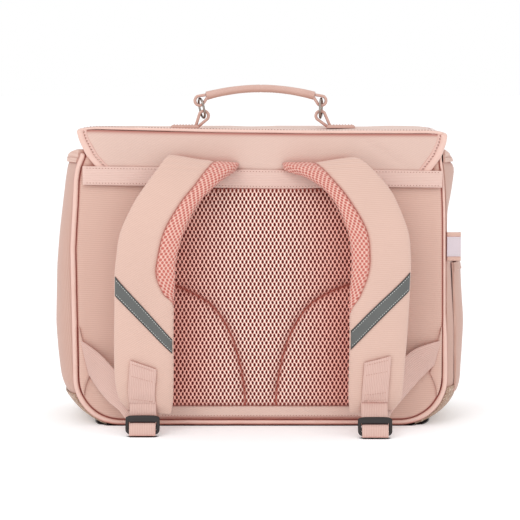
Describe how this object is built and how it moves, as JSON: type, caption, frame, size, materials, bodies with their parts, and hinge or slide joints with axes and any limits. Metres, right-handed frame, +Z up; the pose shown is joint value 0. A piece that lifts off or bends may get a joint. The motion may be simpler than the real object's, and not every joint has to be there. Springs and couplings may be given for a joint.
{
  "type": "school ransel",
  "caption": "Boxy school satchel worn as a backpack: piped fabric body, bound flap, rolled top handle on steel links, padded air-mesh back and padded shoulder straps with reflective tapes.",
  "frame": {"origin": "middle of the body's base, on the floor that the bag stands on", "axes": "+Z up, +X to the right as seen from the strap side, +Y from the strap side towards the clasped front"},
  "size_m": [0.4276, 0.2204, 0.3474],
  "materials": {
    "fabric": "matte fine-ribbed weave",
    "air_mesh": "open knitted spacer mesh",
    "webbing": "ribbed woven webbing with stitch rows",
    "vinyl": "glossy coated binding and piping",
    "leather": "satin smooth leather",
    "patch": "taupe with fine glitter",
    "tape": "grey reflective tape",
    "plastic": "satin black",
    "steel": "polished",
    "label": "plain woven, bare"
  },
  "bodies": {
    "root": {"back_panel": "fabric", "front_panel": "fabric", "gusset": "fabric", "gusset_hem_left": "fabric", "gusset_hem_right": "fabric", "back_piping": "vinyl", "front_piping": "vinyl", "flap": "fabric", "flap_back": "fabric", "flap_binding": "vinyl", "flap_top_cord": "vinyl", "back_band": "webbing", "back_pad": "air_mesh", "back_pad_hem": "fabric", "handle_grip": "leather", "handle_loop_left": "leather", "handle_loop_right": "leather", "handle_anchor_left": "leather", "handle_anchor_right": "leather", "handle_link_left": "steel", "handle_link_right": "steel", "side_pocket": "fabric", "pocket_tab": "fabric", "pocket_label": "label", "shoulder_strap_left": "fabric", "shoulder_strap_right": "fabric", "strap_lining_left": "air_mesh", "strap_lining_right": "air_mesh", "reflective_tape_left": "tape", "reflective_tape_right": "tape", "strap_webbing_left": "webbing", "strap_webbing_right": "webbing", "buckle_left": "plastic", "buckle_right": "plastic", "adjuster_webbing_left": "webbing", "adjuster_webbing_right": "webbing", "anchor_tab_left": "fabric", "anchor_tab_right": "fabric", "corner_patch_left": "patch", "corner_patch_right": "patch", "clasp_left": "steel", "clasp_right": "steel"}
  },
  "joints": []
}
